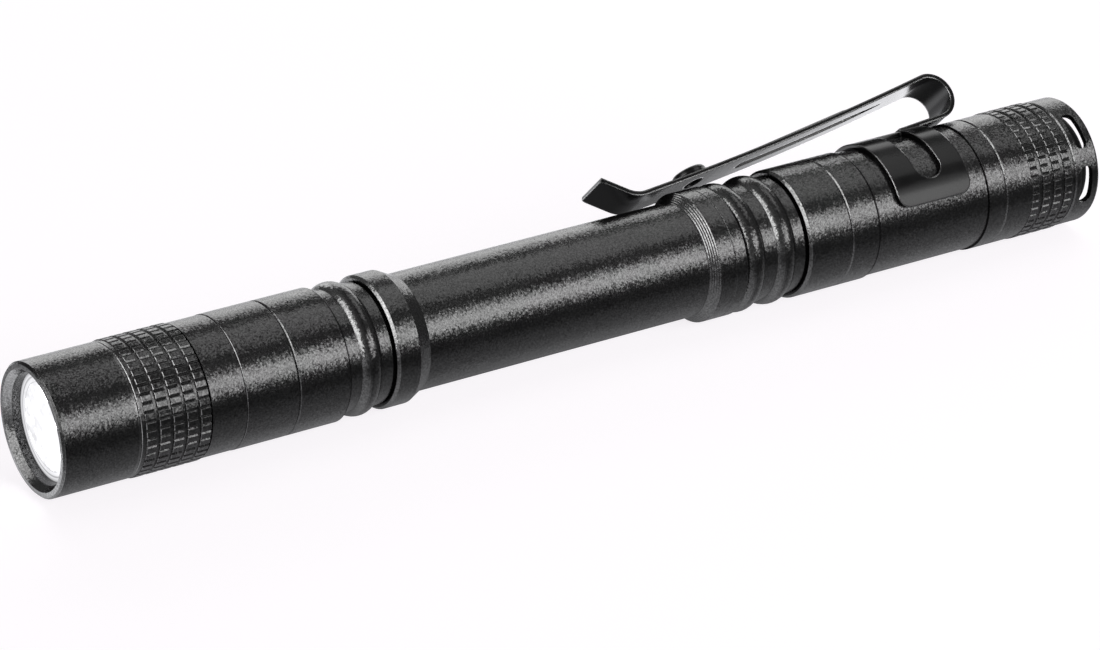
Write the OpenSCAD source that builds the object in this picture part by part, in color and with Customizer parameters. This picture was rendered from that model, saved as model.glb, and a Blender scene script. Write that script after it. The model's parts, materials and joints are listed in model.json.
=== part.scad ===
// Penlight for two AAA cells, with a knurled bezel, a spring pocket clip and a push-button tail.
// The long axis lies on X with the lens at -X and the tail at +X.
// X = 0 is the front end of the bezel's smooth wall, just behind the bevelled rim.
// The clip leans back from +Z towards +Y. Lengths are in millimetres and angles in degrees.

/* [Barrel] */
// Outside diameter of the neck, collars, clip sleeve and tail cap
body_d = 14.1; // [13.6:0.05:15.5]
// Step from the neck down to the smooth bezel
bezel_step = 0.05; // [0:0.01:0.15]
// Wall of the bezel round the lens
bezel_wall = 0.9; // [0.85:0.05:1]
// Wall of the barrel round the cells
body_wall = 1.65; // [1.6:0.05:1.8]
// Wall of the slim grip tube round the cells
tube_wall = 0.83; // [0.7:0.01:1]
// Wall round the cells at the bottom of the grip grooves
floor_wall = 1.05; // [0.95:0.05:1.2]
// Length of the bezel from its rim to the neck seam
bezel_l = 20.4; // [20:0.2:22]
// Length of the neck that shows between its two seams
neck_l = 6; // [5.4:0.2:7]
// Length of the plain land behind the neck seam
front_land_l = 5.95; // [5.6:0.05:7]
// Length of the plain land in front of the sleeve seam
rear_land_l = 5.3; // [5.2:0.05:6.5]
// Length of the clip sleeve that shows between its two seams
sleeve_l = 20.75; // [20:0.05:22]
// Length of the tail cap
tail_l = 12.85; // [12.6:0.05:13.6]

/* [Grip rings] */
// Axial width of each rounded ridge at its foot
ridge_w = 2.35; // [2:0.05:2.6]
// Axial width of each flat groove floor
groove_w = 1.55; // [1.2:0.05:1.8]
// Axial width of the relief cut in front of or behind the plain land
relief_w = 0.28; // [0.2:0.02:0.4]
// Depth of the relief cut below the groove floor
relief_depth = 0.2; // [0.1:0.02:0.3]
// Length of the front collar
front_collar_l = 2.35; // [2:0.05:3]
// Length of the rear collar
rear_collar_l = 3.35; // [3:0.05:4]
// Length of the cone from the front collar down to the tube
front_cone_l = 1.65; // [1.2:0.05:2.2]
// Length of the cone from the tube up to the rear collar
rear_cone_l = 1.05; // [0.8:0.05:1.6]

/* [Knurl] */
// Teeth round each knurled column
knurl_teeth = 48; // [40:1:56]
// Axial pitch of the knurled columns
knurl_pitch = 1.52; // [1.4:0.02:1.56]
// Knurled columns on the bezel
bezel_columns = 5; // [3:1:5]
// Knurled columns on the tail cap
tail_columns = 4; // [2:1:4]
// Width of the V-shaped cuts at the crests of the teeth
knurl_cut = 0.38; // [0.3:0.01:0.44]
// Depth of the V-shaped cuts along the barrel
knurl_depth = 0.16; // [0.12:0.01:0.2]
// Width of the rings that part the bezel columns
bezel_ring_w = 0.42; // [0.3:0.02:0.6]
// Width of the rings that part the tail columns
tail_ring_w = 0.6; // [0.4:0.02:0.7]
// Depth of the rings that part the columns
ring_depth = 0.2; // [0.18:0.01:0.24]
// Length of the plain ring between the turned line and the bezel knurl
knurl_relief = 0.6; // [0.4:0.05:0.7]
// Height of the teeth above the smooth wall
knurl_rise = 0.1; // [0.04:0.02:0.16]
// Distance from the rim to the first bezel column
bezel_knurl_at = 9.1; // [8.4:0.05:9.2]
// Distance from the last tail column to the rear rim
tail_knurl_end = 3.88; // [3.8:0.02:4.2]

/* [Optics] */
// Width of the lip that holds the lens
lip_w = 0.45; // [0.3:0.05:0.8]
// Depth of the lens face behind the rim
lens_depth = 1.65; // [1.4:0.05:2.2]
// Thickness of the lens
lens_t = 1.5; // [1:0.1:1.8]
// Depth of the reflector behind its sealing ring
reflector_l = 8.6; // [8:0.1:8.8]
// Diameter of the hole in the reflector round the emitter
emitter_hole_d = 3.8; // [3.7:0.1:4.4]
// Side of the square emitter package
emitter_side = 2.4; // [2:0.1:2.5]

/* [Cells] */
// Length of one cell with its positive nub
cell_l = 44.5; // [43.8:0.1:44.5]
// Diameter of the positive nub
nub_d = 3.8; // [3.2:0.1:4]
// Height of the positive nub
nub_h = 1; // [0.8:0.1:1.4]
// Length of the fitted battery spring
spring_l = 4.8; // [4.7:0.05:5.6]
// Wire diameter of the battery spring
spring_wire = 0.5; // [0.4:0.05:0.55]
// Turns of the battery spring
spring_turns = 4; // [3:0.5:4]

/* [Tail switch] */
// Radial gap between the rubber button and the wall of its recess
button_gap = 0.7; // [0.7:0.1:1.4]
// Height of the button above the switch wall
button_h = 3.3; // [2.5:0.1:3.3]
// Travel of the button
button_travel = 1.2; // [0.8:0.1:1.2]
// Wall of the tail cap round the open recess
recess_wall = 0.65; // [0.6:0.05:0.9]
// Depth of the open recess behind the rear rim
recess_depth = 3.55; // [3.3:0.05:3.6]
// Width of each lanyard slot along the barrel
slot_w = 1.55; // [1.2:0.05:1.7]
// Length of each lanyard slot round the barrel
slot_l = 4.4; // [3.4:0.1:4.6]
// Angle between the two slots of a pair
slot_spacing = 53; // [48:1:64]
// Angle of the first slot pair from +Z towards +Y
slot_angle = -66; // [-180:1:180]

/* [Clip] */
// Lean of the clip from +Z towards +Y
clip_lean = 44; // [0:1:90]
// Width of the strip
clip_w = 5.2; // [4.4:0.1:5.6]
// Thickness of the strip
clip_t = 0.5; // [0.4:0.05:0.6]
// Length of the clamp along the barrel
clamp_l = 9.6; // [9.2:0.1:10.4]
// Half of the angle that the clamp wraps
clamp_half_wrap = 113.5; // [104:0.5:118]
// Corner radius at the open ends of the clamp
clamp_corner_r = 1.5; // [0.8:0.1:2]
// Width of the clamp's side slots along the barrel
clamp_slot_w = 3.4; // [2.6:0.1:3.6]
// Angle from the strip to the blind end of each side slot
clamp_slot_end = 93; // [80:1:96]
// Length of the clamp in front of its side slots
clamp_front_bar = 3.35; // [2.8:0.05:3.6]
// Outer radius of the return loop
loop_r = 2.72; // [2.4:0.02:2.9]
// Distance from the clamp's rear edge to the loop centre
loop_back = 3.25; // [3:0.05:3.6]
// Distance from the loop centre to the foot of the arm
arm_reach = 39.1; // [37:0.1:40]
// Gap between the arm's foot and the barrel
arm_foot_gap = 0.05; // [0.05:0.05:0.4]
// Slope of the arm where it meets the loop
arm_slope = 9.9; // [9.5:0.1:10.5]
// Slope of the flared tip
tip_slope = 37; // [25:1:45]
// Length of the flared tip
tip_l = 3.3; // [2.4:0.1:4]
// Inside radius of the bend before the tip
tip_bend_r = 2.7; // [2:0.1:3.2]
// Corner radius of the tip
tip_corner_r = 0.7; // [0.3:0.1:1.2]
// Distance from the loop centre to the blunt end of the pressed rib
rib_start = 25.2; // [22:0.1:27]
// Distance from the loop centre to the pointed end of the pressed rib
rib_end = 5.2; // [4.5:0.1:8]
// Height of the pressed rib above the strip
rib_h = 0.5; // [0.3:0.05:0.6]
// Distance from the loop centre to the pressed boss
boss_back = 31.7; // [30:0.1:33]
// Diameter of the pressed boss
boss_d = 4.6; // [3.8:0.1:4.8]
// Height of the pressed boss
boss_h = 1; // [0.6:0.05:1.2]

/* [Clearances] */
// Radial gap of the screwed seams
screw_gap = 0.05; // [0.03:0.01:0.08]
// Radial gap of parts that drop into a bore
slip_gap = 0.05; // [0.03:0.01:0.08]
// Radial gap between the clamp and its seat
clip_gap = 0.03; // [0.02:0.01:0.06]
// Radial gap round a cell
cell_gap = 0.15; // [0.1:0.01:0.2]

/* [Hidden] */
$fn = 96;

// Small edge breaks, and an overshoot that carries each cut past its surface
rim_w = 0.7;
rim_bevel = 0.25;
tail_rim = 0.3;
seam_fine = 0.08;
seam_wide = 0.16;
ring_draft = 0.06;
crest_bevel = 0.07;
line_depth = 0.15;
cut_over = 0.5;

// Radii
body_r = body_d / 2;
bezel_r = body_r - bezel_step;
cell_bore_r = body_r - body_wall;
cell_r = cell_bore_r - cell_gap;
tube_r = cell_bore_r + tube_wall;
floor_r = cell_bore_r + floor_wall;
spigot_wall = 0.85;
spigot_r = cell_bore_r + spigot_wall;
socket_r = spigot_r + screw_gap;
bezel_bore_r = bezel_r - bezel_wall;
bezel_spigot_r = bezel_bore_r - screw_gap;
lens_r = bezel_bore_r - slip_gap;
lip_r = lens_r - lip_w;
lip_draft = 0.15;
pill_bore_r = bezel_spigot_r - spigot_wall;
pill_r = pill_bore_r - slip_gap;
pill_wall = 0.6;
seat_depth = 0.18;
seat_r = body_r - seat_depth;
recess_r = body_r - recess_wall;

// Sealing rings, each just proud of the spigot that it sits in
o_ring_wire_r = 0.28;
o_ring_proud = 0.02;
o_ring_groove_depth = 0.54;
o_ring_groove_w = 0.7;
o_ring_setback = 1.2;

// Stations from the front
x_rim = -rim_bevel;
x_neck = x_rim + bezel_l;
x_body = x_neck + neck_l;
x_lens = x_rim + lens_depth;
x_seal = x_lens + lens_t;
front_seal_r = 0.4;
x_reflector = x_seal + 2 * front_seal_r;
x_reflector_end = x_reflector + reflector_l;
cup_wall = 0.6;
centring_t = 0.3;
x_led_board = x_reflector_end + centring_t;
led_board_t = 1;
led_board_inset = 0.3;
x_pill = x_led_board + led_board_t;
pill_tail = 1.1;
x_pill_end = x_neck + pill_tail;
spigot_lead = 0.6;
x_spigot_front = x_led_board - spigot_lead;
driver_t = 0.9;
driver_recess = 1.4;
x_driver = x_pill_end - driver_recess;
contact_l = 1.5;
contact_inset = 0.3;
x_cells = x_driver + driver_t + contact_l + slip_gap;
x_cells_end = x_cells + 2 * cell_l;
socket_l = 4.8;

// Stations of the rear, which follow the cells
x_switch_board = x_cells_end + slip_gap + spring_l;
board_inset = 1.2;
x_tail = x_switch_board - board_inset;
x_end = x_tail + tail_l;
x_sleeve = x_tail - sleeve_l;
tail_socket_l = 3.55;

// Stations of the grip rings on the body tube
x_front_groove = x_body + front_land_l;
x_front_ridge = x_front_groove + groove_w;
x_front_floor = x_front_ridge + ridge_w;
x_front_relief = x_front_floor + groove_w - relief_w;
x_front_collar = x_front_relief + 2 * relief_w;
x_front_cone = x_front_collar + front_collar_l;
x_tube = x_front_cone + front_cone_l;
x_rear_land = x_sleeve - rear_land_l;
x_rear_relief = x_rear_land - 2 * relief_w;
x_rear_floor = x_rear_relief - groove_w + relief_w;
x_rear_ridge = x_rear_floor - ridge_w;
x_mid_floor = x_rear_ridge - groove_w;
x_mid_ridge = x_mid_floor - ridge_w;
collar_groove_w = 0.36;
x_rear_collar_end = x_mid_ridge - collar_groove_w;
x_rear_collar = x_rear_collar_end - rear_collar_l;
x_tube_end = x_rear_collar - rear_cone_l;
ridge_h = body_r - floor_r;
ridge_arc_r = (ridge_w * ridge_w / 4 + ridge_h * ridge_h) / (2 * ridge_h);
scribe = 0.06;
x_scribe = x_rear_collar + rear_collar_l * 0.58;

// Clip seat and clamp
seat_front = 3.6;
seat_rear = 2.4;
x_seat = x_sleeve + seat_front;
x_seat_end = x_tail - seat_rear;
clamp_setback = 2.35;
clamp_r = seat_r + clip_gap;
x_clamp_end = x_seat_end - clamp_setback;
x_clamp = x_clamp_end - clamp_l;
clamp_slot_x = x_clamp + clamp_front_bar;

// Clip profile in the plane through the axis: [station, radius]
x_loop = x_clamp_end + loop_back;
loop_clear = 0.15;
r_loop = body_r + loop_clear + loop_r;
root_slope = 4.3;
root_foot = [x_loop + loop_r * sin(root_slope), r_loop - loop_r * cos(root_slope)];
root_l = x_loop - clamp_slot_x - clamp_slot_w;
loop_end = arm_slope + 180;
arm_head = [x_loop - loop_r * sin(arm_slope), r_loop + loop_r * cos(arm_slope)];
arm_foot = [x_loop - arm_reach, body_r + arm_foot_gap + clip_t];
arm_chord = norm(arm_head - arm_foot);
arm_chord_slope = atan2(arm_head[1] - arm_foot[1], arm_head[0] - arm_foot[0]);
foot_slope = 2 * arm_chord_slope - arm_slope;
arm_r = arm_chord / (2 * sin(arm_slope - arm_chord_slope));
arm_centre = arm_head + arm_r * [-sin(arm_slope), cos(arm_slope)];
bend_centre = arm_foot + tip_bend_r * [-sin(foot_slope), cos(foot_slope)];
tip_foot = bend_centre + tip_bend_r * [-sin(tip_slope), -cos(tip_slope)];

// Pressed rib and boss
rib_r = 1.1;
rib_taper = 5;
boss_draft = 0.3;

// Switch stations and sizes inside the tail cap
x_recess = x_end - recess_depth;
switch_wall = 1.5;
x_wall = x_recess - switch_wall;
button_r = recess_r - button_gap;
button_crown = 1.1;
boot_flange_t = 0.8;
x_boot = x_wall - boot_flange_t;
switch_shoulder = 0.15;
switch_bore_r = socket_r - switch_shoulder;
press_gap = 0.3;
x_housing_end = x_boot - button_travel - press_gap;
ring_setback = 0.25;
x_ring = x_tail + tail_socket_l + ring_setback;
ring_t = 0.8;
x_housing = x_ring + ring_t;
switch_board_t = 0.8;
housing_neck_r = switch_bore_r * 0.7;
plunger_r = switch_bore_r * 0.325;
plunger_reach = 1.6;
x_plunger = x_boot - button_travel - plunger_reach;
plunger_gap = 0.2;
spring_tip_r = 2.2;

// A solid of revolution about the barrel axis from [radius, station] points
module revolve(points) {
    rotate([0, 90, 0])
        rotate_extrude()
            polygon(points);
}

// A plain tube about the barrel axis
module tube(outer_r, inner_r, from, to) {
    revolve([[inner_r, from], [outer_r, from], [outer_r, to], [inner_r, to]]);
}

// A plain disc about the barrel axis
module disc(radius, from, to) {
    translate([from, 0, 0])
        rotate([0, 90, 0])
            cylinder(r = radius, h = to - from);
}

// A round sealing ring about the barrel axis
module o_ring(ring_r, wire_r, at) {
    translate([at, 0, 0])
        rotate([0, 90, 0])
            rotate_extrude()
                translate([ring_r, 0])
                    circle(wire_r);
}

// A sealing ring in its groove on a spigot
module spigot_o_ring(wall_r, at) {
    o_ring(wall_r - o_ring_wire_r + o_ring_proud, o_ring_wire_r, at);
}

// The groove that an o-ring lies in
module o_ring_groove(wall_r, at) {
    tube(wall_r + cut_over, wall_r - o_ring_groove_depth, at - o_ring_groove_w / 2, at + o_ring_groove_w / 2);
}

// A knurled band: V-shaped cuts along the barrel leave flat crests, and flat rings part the columns
module knurl(tip_r, at, columns, ring_w) {
    step = 360 / knurl_teeth;
    root_r = tip_r - knurl_depth;
    tip_half = step / 2 - asin(knurl_cut / 2 / tip_r);
    outline = [for (i = [0:knurl_teeth - 1])
        for (corner = [[root_r, -step / 2], [tip_r, -tip_half], [tip_r, tip_half]])
            corner[0] * [cos(i * step + corner[1]), sin(i * step + corner[1])]];
    ring_over = ring_draft * cut_over / ring_depth;
    difference() {
        translate([at, 0, 0])
            rotate([0, 90, 0])
                linear_extrude(height = columns * knurl_pitch - ring_w)
                    polygon(outline);
        for (i = [0:columns - 1])
            let (back = at + i * knurl_pitch, front = back - ring_w)
                revolve([[tip_r - ring_depth, front + ring_draft],
                    [tip_r + cut_over, front - ring_over],
                    [tip_r + cut_over, back + crest_bevel + cut_over],
                    [tip_r - crest_bevel, back],
                    [tip_r - ring_depth, back - ring_draft]]);
    }
}

// Bezel with the lens opening, the knurled grip and the socket for the neck
module bezel() {
    knurl_x = x_rim + bezel_knurl_at;
    x_line = knurl_x - knurl_relief;
    knurl_end = knurl_x + bezel_columns * knurl_pitch - bezel_ring_w / 2;
    tip_r = bezel_r + knurl_rise;
    root_r = tip_r - ring_depth - knurl_rise;
    mouth_r = bezel_r - rim_w;
    color([0.1, 0.1, 0.11])
        difference() {
            union() {
                revolve([[0, x_rim], [bezel_r - rim_bevel, x_rim], [bezel_r, 0], [bezel_r, x_line],
                    [bezel_r - line_depth, x_line], [bezel_r, x_line + line_depth], [bezel_r, knurl_x],
                    [root_r, knurl_x], [root_r, knurl_end], [bezel_r, knurl_end],
                    [bezel_r, x_neck - seam_fine], [bezel_r - seam_fine, x_neck], [0, x_neck]]);
                knurl(tip_r, knurl_x, bezel_columns, bezel_ring_w);
            }
            revolve([[0, x_rim - cut_over], [mouth_r, x_rim - cut_over], [mouth_r, x_rim],
                [lip_r + lip_draft, x_rim + lens_depth * 0.45], [lip_r, x_lens], [bezel_bore_r, x_lens],
                [bezel_bore_r, x_neck + cut_over], [0, x_neck + cut_over]]);
        }
}

// Flat window in front of the reflector
module lens() {
    color([0.95, 0.97, 1, 0.4])
        disc(lens_r, x_lens, x_seal);
}

// Seal between the lens and the reflector
module front_o_ring() {
    color([0.08, 0.08, 0.08])
        o_ring(lens_r - 2 * front_seal_r, front_seal_r, x_seal + front_seal_r);
}

// Parabolic reflector cup with a flange behind the seal
module reflector() {
    mouth_r = lens_r - 3 * front_seal_r;
    hole_r = emitter_hole_d / 2;
    flange_t = 0.8;
    shoulder_l = 3.4;
    steps = 12;
    inside = [for (i = [0:steps])
        let (u = i / steps)
        [sqrt(hole_r * hole_r * u + mouth_r * mouth_r * (1 - u)), x_reflector + reflector_l * u]];
    color([0.85, 0.86, 0.88])
        revolve(concat(inside, [[hole_r + cup_wall, x_reflector_end],
            [mouth_r, x_reflector + flange_t + shoulder_l], [mouth_r + cup_wall / 2, x_reflector + flange_t],
            [lens_r, x_reflector + flange_t], [lens_r, x_reflector]]));
}

// White ring that centres the reflector on the emitter
module centring_ring() {
    color([0.93, 0.93, 0.9])
        tube(emitter_hole_d / 2 + cup_wall, emitter_hole_d / 2, x_reflector_end, x_led_board);
}

// Light source: a square package with a clear dome
module led_emitter() {
    package_t = 0.6;
    dome_r = emitter_side * 0.42;
    color([0.95, 0.85, 0.35]) {
        translate([x_led_board - package_t, -emitter_side / 2, -emitter_side / 2])
            cube([package_t, emitter_side, emitter_side]);
        intersection() {
            translate([x_led_board - package_t, 0, 0])
                sphere(dome_r);
            disc(dome_r + cut_over, x_led_board - package_t - dome_r - cut_over, x_led_board - package_t / 2);
        }
    }
}

// Metal-core board under the emitter
module led_board() {
    color([0.9, 0.9, 0.88])
        disc(pill_r - led_board_inset, x_led_board, x_pill);
}

// Heat sink that carries the light source and the driver
module led_pill() {
    color([0.72, 0.58, 0.3])
        difference() {
            disc(pill_r, x_pill, x_pill_end);
            disc(pill_r - pill_wall, x_driver, x_pill_end + cut_over);
        }
}

// Driver board in the back of the heat sink
module driver_board() {
    color([0.1, 0.35, 0.18])
        disc(pill_r - pill_wall - slip_gap, x_driver, x_driver + driver_t);
}

// Contact that meets the front cell
module driver_contact() {
    color([0.8, 0.66, 0.32])
        disc(nub_d / 2 - contact_inset, x_driver + driver_t, x_driver + driver_t + contact_l);
}

// Neck between the bezel and the body tube, with a spigot at each end
module neck() {
    color([0.1, 0.1, 0.11])
        difference() {
            revolve([[pill_bore_r, x_spigot_front], [bezel_spigot_r, x_spigot_front],
                [bezel_spigot_r, x_neck], [body_r - seam_fine, x_neck],
                [body_r, x_neck + seam_fine], [body_r, x_body - seam_wide],
                [body_r - seam_wide, x_body], [spigot_r, x_body], [spigot_r, x_body + socket_l],
                [cell_bore_r, x_body + socket_l], [cell_bore_r, x_pill_end], [pill_bore_r, x_pill_end]]);
            o_ring_groove(bezel_spigot_r, x_neck - o_ring_setback);
            o_ring_groove(spigot_r, x_body + o_ring_setback);
        }
}

// Seal under the bezel
module bezel_o_ring() {
    color([0.08, 0.08, 0.08])
        spigot_o_ring(bezel_spigot_r, x_neck - o_ring_setback);
}

// Seal under the front of the body tube
module neck_o_ring() {
    color([0.08, 0.08, 0.08])
        spigot_o_ring(spigot_r, x_body + o_ring_setback);
}

// One rounded ridge of the grip rings
module ridge(from) {
    translate([floor_r + ridge_h - ridge_arc_r, from + ridge_w / 2])
        circle(ridge_arc_r);
}

// Body tube with the two groups of grip rings
module body_tube() {
    relief_r = floor_r - relief_depth;
    edge_r = body_r - relief_w;
    front_outline = [[0, x_body], [body_r - seam_wide, x_body], [body_r, x_body + seam_wide],
        [body_r, x_front_groove - seam_fine], [body_r - seam_fine, x_front_groove],
        [floor_r, x_front_groove], [floor_r, x_front_relief], [relief_r, x_front_relief],
        [relief_r, x_front_relief + relief_w], [edge_r, x_front_relief + relief_w],
        [body_r, x_front_collar], [body_r, x_front_cone], [tube_r, x_tube]];
    rear_outline = [[tube_r, x_tube_end], [body_r, x_rear_collar], [body_r, x_scribe - scribe],
        [body_r - scribe, x_scribe], [body_r, x_scribe + scribe], [body_r, x_rear_collar_end],
        [floor_r, x_rear_collar_end], [floor_r, x_rear_relief], [relief_r, x_rear_relief],
        [relief_r, x_rear_relief + relief_w], [edge_r, x_rear_relief + relief_w], [body_r, x_rear_land],
        [body_r, x_sleeve - seam_wide], [body_r - seam_wide, x_sleeve], [0, x_sleeve]];
    color([0.1, 0.1, 0.11])
        difference() {
            rotate([0, 90, 0])
                rotate_extrude()
                    difference() {
                        union() {
                            polygon(concat(front_outline, rear_outline));
                            ridge(x_front_ridge);
                            ridge(x_mid_ridge);
                            ridge(x_rear_ridge);
                        }
                        translate([-body_d, x_body - cut_over])
                            square([body_d + cell_bore_r, x_sleeve - x_body + 2 * cut_over]);
                    }
            disc(socket_r, x_body - cut_over, x_body + socket_l + slip_gap);
            disc(socket_r, x_sleeve - socket_l - slip_gap, x_sleeve + cut_over);
        }
}

// Clip sleeve with a spigot at each end and a shallow seat for the clamp
module clip_sleeve() {
    color([0.1, 0.1, 0.11])
        difference() {
            revolve([[cell_bore_r, x_sleeve - socket_l], [spigot_r, x_sleeve - socket_l],
                [spigot_r, x_sleeve], [body_r - seam_wide, x_sleeve],
                [body_r, x_sleeve + seam_wide], [body_r, x_seat],
                [seat_r - line_depth, x_seat],
                [seat_r - line_depth, x_seat + line_depth], [seat_r, x_seat + line_depth],
                [seat_r, x_seat_end], [body_r, x_seat_end], [body_r, x_tail - seam_wide],
                [body_r - seam_wide, x_tail], [spigot_r, x_tail], [spigot_r, x_tail + tail_socket_l],
                [cell_bore_r, x_tail + tail_socket_l]]);
            o_ring_groove(spigot_r, x_sleeve - o_ring_setback);
            o_ring_groove(spigot_r, x_tail + o_ring_setback);
        }
}

// Seal under the rear of the body tube
module sleeve_o_ring() {
    color([0.08, 0.08, 0.08])
        spigot_o_ring(spigot_r, x_sleeve - o_ring_setback);
}

// Seal under the tail cap
module tail_o_ring() {
    color([0.08, 0.08, 0.08])
        spigot_o_ring(spigot_r, x_tail + o_ring_setback);
}

// One cell: a can with a positive nub towards the lens
module cell(from) {
    union() {
        disc(nub_d / 2, from, from + nub_h + cut_over);
        disc(cell_r, from + nub_h, from + cell_l);
    }
}

// Cell next to the driver
module cell_front() {
    color([0.2, 0.42, 0.3])
        cell(x_cells);
}

// Cell next to the switch
module cell_rear() {
    color([0.2, 0.42, 0.3])
        cell(x_cells + cell_l);
}

// Points along an arc of a profile, from one slope to another
function arc(centre, radius, from, to, steps, first = 1) =
    [for (i = [first:steps])
        let (slope = from + (to - from) * i / steps)
        centre + radius * [sin(slope), -cos(slope)]];

// One face of the strip from the clamp round the loop to the flared tip, set in from the outer face
function strip_face(inset) = concat(
    [root_foot + root_l * [-cos(root_slope), -sin(root_slope)] + inset * [-sin(root_slope), cos(root_slope)]],
    arc([x_loop, r_loop], loop_r - inset, root_slope, loop_end, 32, 0),
    arc(arm_centre, arm_r + inset, arm_slope, foot_slope, 12),
    arc(bend_centre, tip_bend_r + inset, foot_slope, -tip_slope, 8),
    [tip_foot + tip_l * [-cos(tip_slope), sin(tip_slope)] - inset * [sin(tip_slope), cos(tip_slope)]]);

// Side view of the whole strip
module strip_profile() {
    under = strip_face(clip_t);
    last = len(under) - 1;
    polygon(concat(strip_face(0), [for (i = [0:last]) under[last - i]]));
}

// Plan of the strip with rounded tip corners
module strip_plan() {
    tip_x = tip_foot[0] - tip_l * cos(tip_slope) - clip_t;
    half = clip_w / 2;
    far = x_loop + 2 * loop_r;
    translate([tip_x + tip_corner_r, -half])
        square([far - tip_x - tip_corner_r, clip_w]);
    translate([tip_x, -half + tip_corner_r])
        square([far - tip_x, clip_w - 2 * tip_corner_r]);
    for (side = [-1, 1])
        translate([tip_x + tip_corner_r, side * (half - tip_corner_r)])
            circle(tip_corner_r);
}

// A point on the arm's outer face at a distance in front of the loop centre
function arm_point(back) =
    let (x = x_loop - back) [x, 0, arm_centre[1] - sqrt(pow(arm_r, 2) - pow(x - arm_centre[0], 2))];

// A round bar along the arm with a blunt front end and a pointed rear end
module rib_bar(bar_r) {
    from = arm_point(rib_start);
    to = arm_point(rib_end);
    slope = atan2(to[2] - from[2], to[0] - from[0]);
    shaft = norm(to - from) - rib_taper;
    translate(from)
        rotate([0, 90 - slope, 0])
            translate([rib_r - rib_h, 0, 0]) {
                sphere(bar_r);
                cylinder(r = bar_r, h = shaft);
                translate([0, 0, shaft])
                    cylinder(r1 = bar_r, r2 = bar_r * 0.3, h = rib_taper);
            }
}

// Outside of the pressed rib, from the middle of the strip outwards
module rib_body() {
    top = r_loop + 2 * loop_r;
    intersection() {
        rib_bar(rib_r);
        rotate([90, 0, 0])
            linear_extrude(height = clip_w, center = true)
                polygon(concat(arc(arm_centre, arm_r + clip_t / 2, arm_slope, foot_slope, 12, 0),
                    [[arm_foot[0], top], [arm_head[0], top]]));
    }
}

// Places its children on the arm's outer face at the pressed boss
module at_boss() {
    at = arm_point(boss_back);
    translate(at)
        rotate([0, -asin((at[0] - arm_centre[0]) / arm_r), 0])
            children();
}

// Pressed boss: a low cone with a rounded crown and a sunk middle
module boss_body() {
    crown_r = boss_h * 0.6;
    crown_ring_r = boss_d / 2 - boss_draft - crown_r;
    at_boss() {
        difference() {
            translate([0, 0, -clip_t / 2])
                cylinder(r1 = boss_d / 2, r2 = boss_d / 2 - boss_draft, h = clip_t / 2 + boss_h - crown_r);
            translate([0, 0, boss_h * 0.3])
                cylinder(r = crown_ring_r, h = boss_h);
        }
        translate([0, 0, boss_h - crown_r])
            rotate_extrude()
                translate([crown_ring_r, 0])
                    circle(crown_r);
    }
}

// Corner that is trimmed off the clamp at an open end
module clamp_corner(at, direction) {
    translate([at, 0, 0])
        difference() {
            translate([direction > 0 ? -cut_over : -clamp_corner_r, -cut_over, 0])
                cube([clamp_corner_r + cut_over, clamp_corner_r + cut_over, body_d]);
            translate([direction * clamp_corner_r, clamp_corner_r, -cut_over])
                cylinder(r = clamp_corner_r, h = body_d + 2 * cut_over);
        }
}

// Clamp band that snaps round the seat, with a slot in each side
module clamp() {
    outer_r = clamp_r + clip_t;
    end_angle = clamp_half_wrap;
    slot_top = asin(clip_w / 2 / clamp_r);
    slot_end = clamp_slot_end - asin(clamp_slot_w / 2 / outer_r);
    slot_mid = clamp_slot_x + clamp_slot_w / 2;
    end_relief = 0.02;
    difference() {
        rotate([0, 90, 0])
            rotate([0, 0, 180 - end_angle])
                rotate_extrude(angle = 2 * end_angle)
                    translate([clamp_r, x_clamp])
                        square([clip_t, clamp_l]);
        for (side = [-1, 1]) {
            rotate([0, 90, 0])
                rotate([0, 0, 180 + (side > 0 ? slot_top : -slot_end)])
                    rotate_extrude(angle = slot_end - slot_top)
                        translate([clamp_r - cut_over, clamp_slot_x])
                            square([clip_t + 2 * cut_over, clamp_slot_w]);
            rotate([side * slot_end, 0, 0])
                translate([slot_mid, 0, 0])
                    cylinder(r = clamp_slot_w / 2 + end_relief, h = body_d);
            mirror([0, side > 0 ? 1 : 0, 0])
                rotate([-end_angle, 0, 0])
                    for (edge = [[x_clamp, 1], [x_clamp_end, -1]])
                        mirror([0, 1, 0])
                            clamp_corner(edge[0], edge[1]);
        }
    }
}

// Spring-steel pocket clip: clamp, return loop, arm with pressed rib and boss, flared tip
module clip() {
    color([0.06, 0.06, 0.06])
        rotate([-clip_lean, 0, 0])
            difference() {
                union() {
                    clamp();
                    intersection() {
                        rotate([90, 0, 0])
                            linear_extrude(height = clip_w, center = true)
                                strip_profile();
                        linear_extrude(height = 2 * body_d)
                            strip_plan();
                    }
                    rib_body();
                    boss_body();
                }
                rib_bar(rib_r - clip_t * 0.8);
                at_boss()
                    translate([0, 0, -clip_t - cut_over])
                        cylinder(r = boss_d / 4, h = cut_over + clip_t / 2);
                disc(clamp_r, x_clamp - cut_over, x_seat_end);
            }
}

// One round-ended lanyard slot through the wall of the tail cap
module lanyard_slot(angle) {
    flat_l = slot_l - slot_w;
    rotate([-angle, 0, 0])
        translate([x_end - recess_depth / 2, 0, recess_r - cut_over])
            linear_extrude(height = recess_wall + 2 * cut_over) {
                square([slot_w, flat_l], center = true);
                for (side = [-1, 1])
                    translate([0, side * flat_l / 2])
                        circle(slot_w / 2);
            }
}

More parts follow.
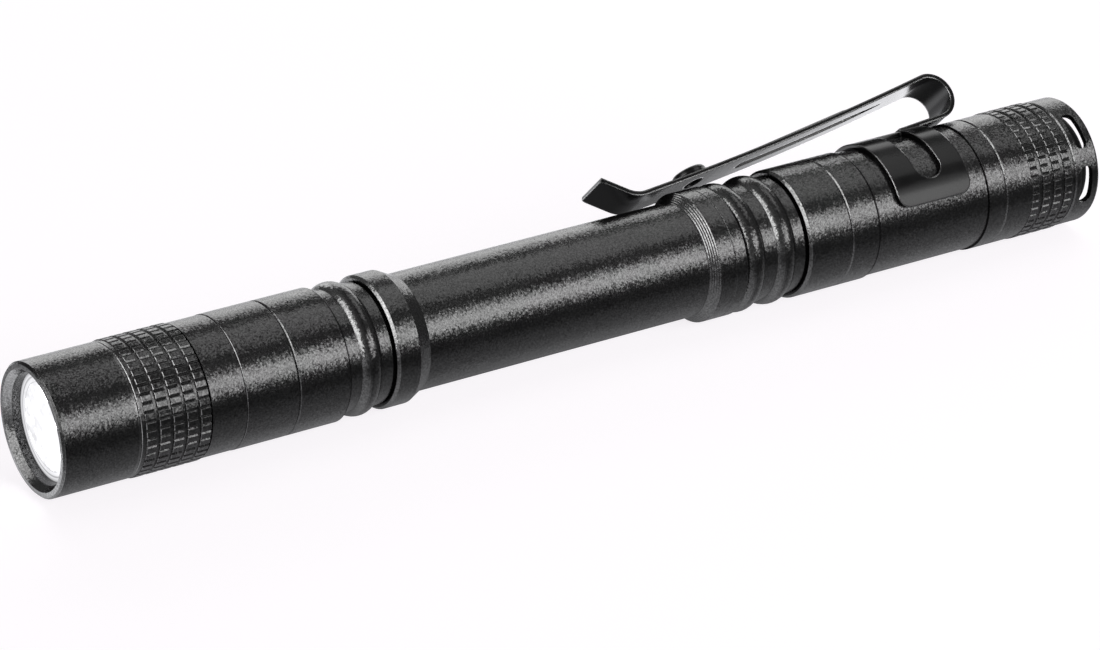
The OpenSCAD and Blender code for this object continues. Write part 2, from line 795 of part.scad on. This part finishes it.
// Tail cap with the screw socket, the switch wall, the open recess and the lanyard slots
module tail_cap() {
    knurl_tail = x_end - tail_knurl_end + tail_ring_w;
    knurl_x = knurl_tail - tail_columns * knurl_pitch;
    tip_r = body_r + knurl_rise;
    root_r = tip_r - ring_depth - knurl_rise;
    color([0.1, 0.1, 0.11])
        difference() {
            union() {
                revolve([[0, x_tail], [body_r - seam_wide, x_tail], [body_r, x_tail + seam_wide],
                    [body_r, knurl_x], [root_r, knurl_x],
                    [root_r, knurl_tail], [body_r - seam_wide, knurl_tail],
                    [body_r, knurl_tail + seam_wide], [body_r, x_end - tail_rim],
                    [body_r - tail_rim / 3, x_end - tail_rim / 3], [body_r - tail_rim, x_end], [0, x_end]]);
                knurl(tip_r, knurl_x, tail_columns, tail_ring_w);
            }
            disc(socket_r, x_tail - cut_over, x_tail + tail_socket_l + slip_gap);
            disc(switch_bore_r, x_tail, x_wall);
            disc(button_r + slip_gap, x_wall - cut_over, x_end);
            disc(recess_r, x_recess, x_end + cut_over);
            for (pair = [slot_angle, slot_angle + 180], side = [-1, 1])
                lanyard_slot(pair + side * slot_spacing / 2);
        }
}

// Rubber button with a flange behind the switch wall
module switch_boot() {
    top = x_recess + button_h;
    color([0.07, 0.07, 0.07])
        union() {
            disc(switch_bore_r - 2 * slip_gap, x_boot, x_wall);
            disc(button_r, x_wall - boot_flange_t / 2, top - button_crown);
            disc(button_r - button_crown, top - button_crown, top);
            o_ring(button_r - button_crown, button_crown, top - button_crown);
        }
}

// Plunger that the button pushes into the switch
module switch_plunger() {
    color([0.85, 0.85, 0.82])
        disc(plunger_r, x_plunger, x_boot);
}

// Switch body in the tail cap
module switch_housing() {
    color([0.16, 0.16, 0.17])
        difference() {
            union() {
                disc(switch_bore_r - slip_gap, x_housing, x_housing_end);
                disc(housing_neck_r, x_switch_board + switch_board_t, x_housing + slip_gap);
            }
            disc(plunger_r + slip_gap, x_plunger - button_travel - plunger_gap, x_housing_end + cut_over);
        }
}

// Screwed ring that holds the switch in the tail cap
module switch_ring() {
    color([0.78, 0.64, 0.3])
        tube(switch_bore_r - slip_gap, housing_neck_r + slip_gap, x_ring, x_housing);
}

// Contact board in front of the switch
module switch_board() {
    color([0.1, 0.35, 0.18])
        disc(cell_bore_r - 2 * slip_gap, x_switch_board, x_switch_board + switch_board_t);
}

// Conical battery spring, wound as one unbroken tube
module battery_spring() {
    rings_per_turn = 12;
    sides = 6;
    wire_r = spring_wire / 2;
    from_r = spring_tip_r;
    to_r = housing_neck_r;
    rings = spring_turns * rings_per_turn;
    rise = spring_l - spring_wire;
    x_first = x_switch_board - spring_l + wire_r;
    coil_gap = norm([rise, to_r - from_r]) / spring_turns - spring_wire;
    echo(spring_self_gap = coil_gap);
    points = [for (i = [0:rings])
        let (u = i / rings, turn = 360 * spring_turns * u, coil_r = from_r + (to_r - from_r) * u)
        for (k = [0:sides - 1])
            let (a = 360 * k / sides + 30, reach = coil_r + wire_r * cos(a))
            [x_first + rise * u + wire_r * sin(a), reach * sin(turn), reach * cos(turn)]];
    skin = [for (i = [0:rings - 1])
        for (k = [0:sides - 1])
            let (next = (k + 1) % sides)
            [i * sides + k, (i + 1) * sides + k, (i + 1) * sides + next, i * sides + next]];
    caps = [[for (k = [0:sides - 1]) k], [for (k = [sides - 1:-1:0]) rings * sides + k]];
    color([0.75, 0.75, 0.78])
        polyhedron(points, concat(skin, caps), convexity = 8);
}

bezel();
lens();
front_o_ring();
reflector();
centring_ring();
led_emitter();
led_board();
led_pill();
driver_board();
driver_contact();
neck();
bezel_o_ring();
body_tube();
neck_o_ring();
sleeve_o_ring();
clip_sleeve();
clip();
cell_front();
cell_rear();
tail_o_ring();
tail_cap();
switch_boot();
switch_plunger();
switch_housing();
switch_ring();
switch_board();
battery_spring();
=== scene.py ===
"""Looks for the penlight: materials, stage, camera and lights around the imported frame.

The barrel lies along X, with 0 at the front of the bezel's smooth wall and the tail towards +X.
"""
import json
import math

import bpy
from mathutils import Matrix, Vector


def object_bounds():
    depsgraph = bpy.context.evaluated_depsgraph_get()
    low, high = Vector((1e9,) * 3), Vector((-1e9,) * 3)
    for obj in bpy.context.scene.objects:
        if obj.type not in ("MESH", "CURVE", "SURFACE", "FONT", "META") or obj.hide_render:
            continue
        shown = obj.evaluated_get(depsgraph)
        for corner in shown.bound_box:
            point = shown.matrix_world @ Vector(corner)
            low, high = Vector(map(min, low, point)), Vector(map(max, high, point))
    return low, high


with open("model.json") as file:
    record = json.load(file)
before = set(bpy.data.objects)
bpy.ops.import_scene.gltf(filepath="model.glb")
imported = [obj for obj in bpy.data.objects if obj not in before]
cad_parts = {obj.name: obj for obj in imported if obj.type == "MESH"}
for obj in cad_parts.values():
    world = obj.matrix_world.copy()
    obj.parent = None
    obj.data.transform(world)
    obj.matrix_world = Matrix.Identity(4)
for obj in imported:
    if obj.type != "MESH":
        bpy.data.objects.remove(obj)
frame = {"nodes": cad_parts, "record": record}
cad_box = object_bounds()
NODES = frame["nodes"]
SCENE = bpy.context.scene
FLOOR_Z = cad_box[0][2]
MM = 0.001

# Sockets of a colour mix node, which go by number
MIX_SHARE, MIX_FIRST, MIX_SECOND, MIX_RESULT = 0, 6, 7, 2

# Samples of the two nodes that look around the shaded point
BEVEL_SAMPLES = 6
HOLLOW_SAMPLES = 8


class Tree:
    """A shader node tree. Its methods add nodes, and most return an output socket."""

    def __init__(self, tree):
        self.nodes = tree.nodes
        self.links = tree.links

    def feed(self, node, inputs):
        """Link outputs to a node, or set constants, by the name or number of the input."""
        for key, value in inputs.items():
            if isinstance(value, bpy.types.NodeSocket):
                self.links.new(value, node.inputs[key])
            else:
                node.inputs[key].default_value = value

    def add(self, kind, inputs=None, **settings):
        """One node with its properties and inputs; the node itself is returned."""
        made = self.nodes.new(kind)
        for key, value in settings.items():
            setattr(made, key, value)
        self.feed(made, inputs or {})
        return made

    def math(self, operation, *values, **settings):
        """A number from numbers."""
        inputs = dict(enumerate(values))
        return self.add("ShaderNodeMath", inputs, operation=operation, **settings).outputs["Value"]

    def vector_math(self, operation, *values, **inputs):
        """The node of a vector operation."""
        inputs.update(enumerate(values))
        return self.add("ShaderNodeVectorMath", inputs, operation=operation)

    def vector(self, operation, *values, **inputs):
        """A vector from vectors."""
        return self.vector_math(operation, *values, **inputs).outputs["Vector"]

    def measure(self, operation, *values):
        """A number from vectors."""
        return self.vector_math(operation, *values).outputs["Value"]

    def fade(self, value, start, end, low=0.0, high=1.0):
        """A number that goes from low at start to high at end, and is level beyond them."""
        return self.add("ShaderNodeMapRange", {
            "From Min": start, "From Max": end, "To Min": low, "To Max": high, "Value": value,
        }).outputs["Result"]

    def split(self, vector):
        """The outputs X, Y and Z of a vector."""
        return self.add("ShaderNodeSeparateXYZ", {"Vector": vector}).outputs

    def mix(self, share, first, second, **settings):
        """One colour from two."""
        inputs = {MIX_SHARE: share, MIX_FIRST: first, MIX_SECOND: second}
        return self.add("ShaderNodeMix", inputs, data_type="RGBA", **settings).outputs[MIX_RESULT]

    def ramp(self, value, stops):
        """A colour over a value, from (position, colour) stops."""
        made = self.add("ShaderNodeValToRGB", {"Fac": value})
        band = made.color_ramp
        while len(band.elements) < len(stops):
            band.elements.new(0.5)
        for element, (position, colour) in zip(band.elements, stops):
            element.position = position
            element.color = (*colour, 1.0)
        return made.outputs["Color"]

    def greys(self, value, stops):
        """A grey over a value, from (position, level) stops."""
        return self.ramp(value, [(position, grey(level)) for position, level in stops])

    def place(self):
        """The shaded point, in the frame of its piece."""
        return self.add("ShaderNodeTexCoord").outputs["Object"]

    def from_axis(self):
        """The way from the barrel's axis to the shaded point."""
        return self.vector("MULTIPLY", self.place(), (0, 1, 1))

    def behind(self, at):
        """How far the shaded point lies behind a place along the barrel."""
        return self.math("SUBTRACT", self.split(self.place())["X"], at)

    def face_normal(self):
        """The normal of the face, without rounding or relief."""
        return self.add("ShaderNodeNewGeometry").outputs["True Normal"]

    def noise(self, scale, detail=2.0, roughness=0.5):
        """Noise that stays with the piece, with a scale in features per metre."""
        return self.add("ShaderNodeTexNoise", {
            "Scale": scale, "Detail": detail, "Roughness": roughness, "Vector": self.place(),
        }).outputs["Fac"]

    def relief(self, height, distance, strength):
        """The node of a bump from a height value."""
        return self.add("ShaderNodeBump", {
            "Distance": distance, "Strength": strength, "Height": height})

    def rounded(self, radius):
        """A normal that rounds every edge a little, so that edges catch the light."""
        bevel = self.add("ShaderNodeBevel", {"Radius": radius}, samples=BEVEL_SAMPLES)
        return bevel.outputs["Normal"]


def material(name):
    """A new material, with its tree and its main shader."""
    made = bpy.data.materials.new(name)
    made.use_nodes = True
    return made, Tree(made.node_tree), made.node_tree.nodes["Principled BSDF"]


def grey(level):
    """A grey that is slightly blue."""
    return (level, level, level * 1.03)


# Forms that the finishes follow
CONE_AT = 76.6 * MM  # middle of the cone in front of the rear collar
CONE_HALF = 0.5 * MM
LATHE_PITCH = 0.2 * MM
LATHE_DEPTH = 0.012 * MM
RIM_EDGE_INNER = 6.73 * MM  # radius where the chamfer outside the bezel's rim begins
BEZEL_LINE_AT = 8.25 * MM  # turned line before the bezel's knurl
BEZEL_LINE_HALF = 0.18 * MM
# Painted dark lines of shade lie at the next two places
TUBE_LINE_AT = 32.03 * MM  # fine line before the tube's front groove
SEAT_LINE_AT = 97.74 * MM  # front of the clip's seat
DARK_LINE_HALF = 0.08 * MM
WINDOW_RADIUS = 6.05 * MM

# How softly a relief or a painted mark ends, on the cone and the bezel's line, and on finer forms
SOFT_END = 0.08 * MM
FINE_END = 0.06 * MM

# Painted shade and painted highlights on these forms, as factors on the gloss of the open faces
RIM_EDGE_PAINTED_SHADE = 0.2
BEZEL_LINE_PAINTED_HIGHLIGHT = 3.5
PAINTED_DARK_LINE_SHADE = 0.1
CUT_PAINTED_HIGHLIGHT_INSIDE = 0.9
CUT_PAINTED_HIGHLIGHT_OUTSIDE = 2.6


def painted_hollow_shade(tree, reach, alone=True):
    """Painted shade: a value that drops in narrow cuts and corners, where light hardly reaches."""
    seen = tree.add("ShaderNodeAmbientOcclusion", {"Distance": reach},
                    samples=HOLLOW_SAMPLES, only_local=alone)
    return tree.greys(seen.outputs["AO"], [(0.55, 0.15), (0.93, 1.0)])


def painted_edge_highlight(tree, rounded, face, edge):
    """A painted highlight on edges: a value with one level on open faces and another where the
    rounding bends the normal.
    """
    likeness = tree.measure("DOT_PRODUCT", rounded, tree.face_normal())
    return tree.fade(likeness, start=0.99, end=0.85, low=face, high=edge)


def lathe_lines(tree):
    """Heights of the fine turned lines on the cone in front of the rear collar."""
    off = tree.behind(CONE_AT)
    wave = tree.math("SINE", tree.math("MULTIPLY", off, 2 * math.pi / LATHE_PITCH))
    on_cone = tree.fade(tree.math("ABSOLUTE", off), start=CONE_HALF + SOFT_END, end=CONE_HALF)
    return tree.math("MULTIPLY", wave, on_cone)


def facets(tree, normal, scale, tilt):
    """A normal that leans its own way in each tiny cell, as on a blasted surface."""
    cells = tree.add("ShaderNodeTexVoronoi", {"Scale": scale, "Vector": tree.place()})
    centred = tree.vector("SUBTRACT", cells.outputs["Color"], (0.5, 0.5, 0.5))
    lean = tree.vector("SCALE", centred, Scale=tilt)
    return tree.vector("NORMALIZE", tree.vector("ADD", normal, lean))


def painted_front_highlight(tree):
    """A painted highlight, as a factor on the gloss: high on chamfers and flanks that face the
    front, one elsewhere.
    """
    normal = tree.add("ShaderNodeVectorTransform", {"Vector": tree.face_normal()},
                      vector_type="NORMAL", convert_from="WORLD", convert_to="OBJECT")
    own = normal.outputs["Vector"]
    slope = tree.math("MULTIPLY", tree.split(own)["X"], -1.0)
    leans = tree.fade(slope, start=0.2, end=0.45)
    not_square = tree.fade(slope, start=0.97, end=0.85)
    cut = tree.math("MULTIPLY", leans, not_square)
    outwards = tree.measure("DOT_PRODUCT", tree.from_axis(), own)
    added = tree.fade(outwards, start=-0.5 * MM, end=0.5 * MM,
                      low=CUT_PAINTED_HIGHLIGHT_INSIDE, high=CUT_PAINTED_HIGHLIGHT_OUTSIDE)
    return tree.math("MULTIPLY_ADD", cut, added, 1.0)


def bezel_painted_shade_and_highlight(tree):
    """A factor on the gloss: painted shade, low, on the rim's outer edge, and a painted highlight,
    high, in the line before the knurl.
    """
    radius = tree.measure("LENGTH", tree.from_axis())
    outer = tree.fade(radius, start=RIM_EDGE_INNER, end=RIM_EDGE_INNER + FINE_END)
    front = tree.fade(tree.behind(0.0), start=0.02 * MM, end=-0.03 * MM, high=RIM_EDGE_PAINTED_SHADE - 1.0)
    painted_rim_shade = tree.math("MULTIPLY_ADD", outer, front, 1.0)
    away = tree.math("ABSOLUTE", tree.behind(BEZEL_LINE_AT))
    painted_line_highlight = tree.fade(away, start=BEZEL_LINE_HALF + SOFT_END, end=BEZEL_LINE_HALF,
                     high=BEZEL_LINE_PAINTED_HIGHLIGHT - 1.0)
    return tree.math("ADD", painted_rim_shade, painted_line_highlight)


def painted_shade_line(at):
    """A painted shade: a fine dull line around the barrel, dark as a groove's shade."""
    def painted_mark(tree):
        away = tree.math("ABSOLUTE", tree.behind(at))
        return tree.fade(away, start=DARK_LINE_HALF, end=DARK_LINE_HALF + FINE_END,
                         low=PAINTED_DARK_LINE_SHADE)
    return painted_mark


def anodised(name, reach, alone, painted_mark=None):
    """Bead-blasted black anodised aluminium: dark satin with a fine bright grain."""
    made, tree, shader = material(name)
    grain = tree.noise(scale=5200, detail=2.0, roughness=0.6)
    cloud = tree.noise(scale=180, detail=3.0)
    tree.feed(shader, {
        "Base Color": tree.greys(grain, [(0.35, 0.004), (0.65, 0.01)]),
        "Roughness": tree.greys(cloud, [(0.3, 0.2), (0.7, 0.25)]),
        "IOR": 1.55,
    })
    sparkle = tree.greys(grain, [(0.36, 0.38), (0.66, 0.76)])
    # The gloss is the random grain, times painted shade in cuts and corners, times the piece's
    # painted mark if any, times painted highlights on front-facing chamfers
    gloss_with_painted_light = tree.math("MULTIPLY", sparkle, painted_hollow_shade(tree, reach, alone))
    if painted_mark:
        gloss_with_painted_light = tree.math("MULTIPLY", gloss_with_painted_light, painted_mark(tree), use_clamp=True)
    tree.feed(shader, {"Specular IOR Level": tree.math("MULTIPLY", gloss_with_painted_light, painted_front_highlight(tree))})
    turned = tree.relief(lathe_lines(tree), distance=LATHE_DEPTH, strength=1.0)
    tree.feed(turned, {"Normal": tree.rounded(radius=0.08 * MM)})
    blasted = facets(tree, turned.outputs["Normal"], scale=6500, tilt=0.15)
    tree.feed(shader, {"Normal": blasted})
    return made


def clip_coat():
    """Gloss black coating on spring steel, with faint waves, painted highlights on its edges and
    painted shade in its corners.
    """
    made, tree, shader = material("black_spring_steel")
    cloud = tree.noise(scale=250, detail=4.0)
    tree.feed(shader, {
        "Base Color": tree.greys(cloud, [(0.3, 0.008), (0.7, 0.014)]),
        "Roughness": tree.greys(cloud, [(0.25, 0.17), (0.75, 0.23)]),
        "IOR": 1.5,
    })
    waves = tree.relief(tree.noise(scale=900), distance=0.01 * MM, strength=0.25)
    rounded = tree.rounded(radius=0.26 * MM)
    tree.feed(waves, {"Normal": rounded})
    # Painted highlights: the gloss is twenty times higher where the rounding bends the normal at
    # edges
    painted_edges = painted_edge_highlight(tree, rounded, face=0.2, edge=4.0)
    tree.feed(shader, {
        "Normal": waves.outputs["Normal"],
        "Specular IOR Level": tree.math("MULTIPLY", painted_edges, painted_hollow_shade(tree, reach=0.5 * MM)),
    })
    return made


def painted_glow_window():
    """The window with the light on, as a painted glow that emits in place of the LED behind it:
    bright, with faint rings near its edge and a thin veil.
    """
    made, tree, shader = material("clear_window")
    radius = tree.measure("LENGTH", tree.from_axis())
    glow = tree.greys(tree.math("DIVIDE", radius, WINDOW_RADIUS), [
        (0.0, 1.0), (0.72, 1.0), (0.75, 0.06), (0.775, 0.115),
        (0.82, 0.105), (0.845, 0.046), (0.87, 0.1), (0.92, 0.05)])
    cloud = tree.noise(scale=700, detail=3.0)
    veil = tree.greys(cloud, [(0.36, 0.098), (0.53, 0.125), (0.58, 1.0)])
    # Painted glow: the window emits light itself, with the rings and the veil painted into it
    tree.feed(shader, {
        "Emission Color": tree.mix(1.0, glow, veil, blend_type="DARKEN"),
        "Emission Strength": 8.0,
        "Base Color": (0.02, 0.02, 0.02, 1),
        "Roughness": 0.08,
    })
    return made


def plain(name, dark, light, rough, metal=0.0, scale=900.0, lift=0.004 * MM):
    """A simple finish: two close tones, a varied roughness and a fine relief."""
    made, tree, shader = material(name)
    grain = tree.noise(scale, detail=3.0)
    relief = tree.relief(grain, distance=lift, strength=0.4)
    tree.feed(shader, {
        "Base Color": tree.ramp(grain, [(0.3, dark), (0.7, light)]),
        "Roughness": tree.greys(grain, [(0.3, rough * 0.85), (0.7, min(1.0, rough * 1.15))]),
        "Normal": relief.outputs["Normal"],
        "Metallic": metal,
    })
    return made


# How far cuts and seams look around themselves for the painted shade in their corners
CUT_REACH = 0.22 * MM
SEAM_REACH = 0.45 * MM

PLAIN_FINISHES = {
    "mirror_cup": dict(dark=(0.8, 0.81, 0.83), light=(0.88, 0.89, 0.9), rough=0.06, metal=1.0),
    "white_plastic": dict(dark=(0.82, 0.82, 0.8), light=(0.9, 0.9, 0.88), rough=0.5),
    "white_board": dict(dark=(0.8, 0.8, 0.78), light=(0.88, 0.88, 0.86), rough=0.55),
    "emitter": dict(dark=(0.9, 0.74, 0.2), light=(0.95, 0.82, 0.3), rough=0.25),
    "brass_pill": dict(dark=(0.62, 0.48, 0.22), light=(0.74, 0.6, 0.32), rough=0.32, metal=1.0),
    "green_board": dict(dark=(0.03, 0.16, 0.06), light=(0.05, 0.22, 0.09), rough=0.4),
    "black_rubber": dict(dark=grey(0.012), light=grey(0.024), rough=0.62,
                         scale=2500.0, lift=0.01 * MM),
    "cell_can": dict(dark=(0.04, 0.14, 0.08), light=(0.06, 0.2, 0.11), rough=0.3),
    "black_plastic": dict(dark=grey(0.015), light=grey(0.025), rough=0.5),
    "bright_steel": dict(dark=(0.6, 0.6, 0.62), light=(0.72, 0.72, 0.75), rough=0.28, metal=1.0),
}

# Finishes by the material slots of the record
FINISHES = {
    "black_anodised": anodised("black_anodised", CUT_REACH, alone=True),
    "black_spring_steel": clip_coat(),
    "clear_window": painted_glow_window(),
}
for slot, look in PLAIN_FINISHES.items():
    FINISHES[slot] = plain(slot, **look)

# Pieces with a material of their own, copies of the anodised one that differ in painted shade and
# highlights. The painted shade in the seams of the neck and the tube reaches to their corners.
PAINTED_LIGHT_COPIES = {
    "neck": anodised("black_anodised_seams", SEAM_REACH, alone=False),
    "body_tube": anodised("black_anodised_tube", SEAM_REACH, alone=False,
                          painted_mark=painted_shade_line(TUBE_LINE_AT)),
    "bezel": anodised("black_anodised_bezel", CUT_REACH, alone=True, painted_mark=bezel_painted_shade_and_highlight),
    "clip_sleeve": anodised("black_anodised_sleeve", CUT_REACH, alone=True,
                            painted_mark=painted_shade_line(SEAT_LINE_AT)),
}

for part in frame["record"]["subparts"]:
    mesh = NODES[part["node"]].data
    mesh.materials.clear()
    mesh.materials.append(PAINTED_LIGHT_COPIES.get(part["node"], FINISHES[part["material_slot"]]))


def add_object(name, data):
    """A new object in the scene."""
    made = bpy.data.objects.new(name, data)
    SCENE.collection.objects.link(made)
    return made


# Camera, fitted to the seams of the barrel in the photograph
CAMERA_AT = Vector((-172.81, -364.62, 196.9)) * MM
TOWARDS_CAMERA = Vector((-0.4885, -0.7646, 0.4205)).normalized()
SENSOR = 36.0
FOCAL_PIXELS = 4546.0
PHOTO_WIDTH = 1100.0

right = Vector((0, 0, 1)).cross(TOWARDS_CAMERA).normalized()
up = TOWARDS_CAMERA.cross(right)
turn = Matrix((right, up, TOWARDS_CAMERA)).transposed().to_4x4()
camera_data = bpy.data.cameras.new("photo_camera")
camera_data.sensor_width = SENSOR
camera_data.lens = SENSOR * FOCAL_PIXELS / PHOTO_WIDTH
camera_data.clip_start = 0.01
camera_data.clip_end = 20.0
camera = add_object("photo_camera", camera_data)
camera.matrix_world = Matrix.Translation(CAMERA_AT) @ turn
SCENE.camera = camera

# Floor: white to the camera, with the shadow. Reflections see painted light and shade on it: dark
# in front of the light and bright behind it, a painted shadow under the barrel and the clip, and a
# painted pool of light before the lens.
FLOOR_HALF = 4.0
FLOOR_GLOW = 0.865
REFLECTED_GLOW = 2.7
REFLECTED_FROM_Y = -30 * MM
REFLECTED_TO_Y = 70 * MM
POOL_REACH = 40 * MM


def floor_material():
    """The white floor, with the painted light and shade that reflections see on it."""
    made, tree, shader = material("white_floor")
    rays = tree.add("ShaderNodeLightPath").outputs
    tree.feed(shader, {
        "Base Color": (0.3, 0.3, 0.3, 1),
        "Roughness": 1.0,
        "Specular IOR Level": 0.0,
        "Emission Color": (1, 0.97, 1, 1),
        "Emission Strength": tree.math("MULTIPLY", rays["Is Camera Ray"], FLOOR_GLOW),
    })
    place = tree.place()
    parts = tree.split(place)
    # Painted shade and light across the floor for reflections, with a painted shadow band under
    # the barrel and the clip
    painted_shade_by_y = tree.greys(tree.fade(parts["Y"], start=REFLECTED_FROM_Y, end=REFLECTED_TO_Y), [
        (0.08, 0.027), (0.25, 0.205), (0.285, 0.09), (0.445, 0.09),
        (0.515, 0.93), (0.6, 0.93), (0.7, 0.42), (1.0, 0.38)])
    painted_pool_of_light = tree.greys(tree.fade(tree.measure("LENGTH", place), start=0.0, end=POOL_REACH), [
        (0.0, 1.0), (0.25, 0.9), (0.33, 0.4), (0.52, 0.42), (0.72, 0.29), (1.0, 0.2)])
    before_lens = tree.fade(parts["X"], start=0.5 * MM, end=-1.5 * MM)
    painted_reflection = tree.add("ShaderNodeEmission", {
        "Color": tree.mix(before_lens, painted_shade_by_y, painted_pool_of_light), "Strength": REFLECTED_GLOW})
    surface = tree.add("ShaderNodeMixShader", {
        "Fac": rays["Is Glossy Ray"], 1: shader.outputs["BSDF"], 2: painted_reflection.outputs["Emission"]})
    tree.feed(tree.nodes["Material Output"], {"Surface": surface.outputs["Shader"]})
    return made


def make_floor(half):
    """The floor that the penlight lies on."""
    mesh = bpy.data.meshes.new("floor")
    corners = [(-half, -half, 0), (half, -half, 0), (half, half, 0), (-half, half, 0)]
    mesh.from_pydata(corners, [], [(0, 1, 2, 3)])
    mesh.materials.append(floor_material())
    floor = add_object("floor", mesh)
    floor.location = (0, 0, FLOOR_Z)


make_floor(FLOOR_HALF)

# World: white to the camera, a soft grey for everything else
WORLD_GREY = 0.14
world = bpy.data.worlds.new("studio")
SCENE.world = world
world.use_nodes = True
sky = Tree(world.node_tree)
camera_ray = sky.add("ShaderNodeLightPath").outputs["Is Camera Ray"]
sky.feed(sky.nodes["Background"], {
    "Color": (1, 1, 1, 1),
    "Strength": sky.fade(camera_ray, start=0.0, end=1.0, low=WORLD_GREY, high=1.0),
})

# Soft lamps, all facing the middle of the barrel: name, place, width, height, radiance, and
# whether they light faces as well as reflections
LAMPS_FACE = Vector((0.064, 0.0, 0.0))
LAMPS = (
    ("camera_side", (0.36, -0.48, 0.215), 0.42, 0.2, 3.6, True),
    ("camera_side_wide", (0.32, -0.5, 0.22), 0.4, 0.34, 2.5, True),
    ("lens_side", (-0.45, -0.12, 0.2), 0.5, 0.34, 3.4, False),
    ("lens_top", (-0.38, 0.11, 0.43), 0.4, 0.3, 2.7, False),
    ("overhead", (0.36, 0.04, 0.54), 0.5, 0.26, 1.3, True),
    ("behind", (0.42, 0.62, 0.24), 0.9, 0.42, 1.9, True),
)

for name, at, width, height, radiance, lights_faces in LAMPS:
    data = bpy.data.lights.new(name, "AREA")
    data.shape = "RECTANGLE"
    data.size = width
    data.size_y = height
    data.energy = radiance * math.pi * width * height
    lamp = add_object(name, data)
    lamp.location = at
    lamp.rotation_euler = (LAMPS_FACE - Vector(at)).to_track_quat("-Z", "Y").to_euler()
    lamp.visible_diffuse = lights_faces

SCENE.view_settings.view_transform = "Standard"
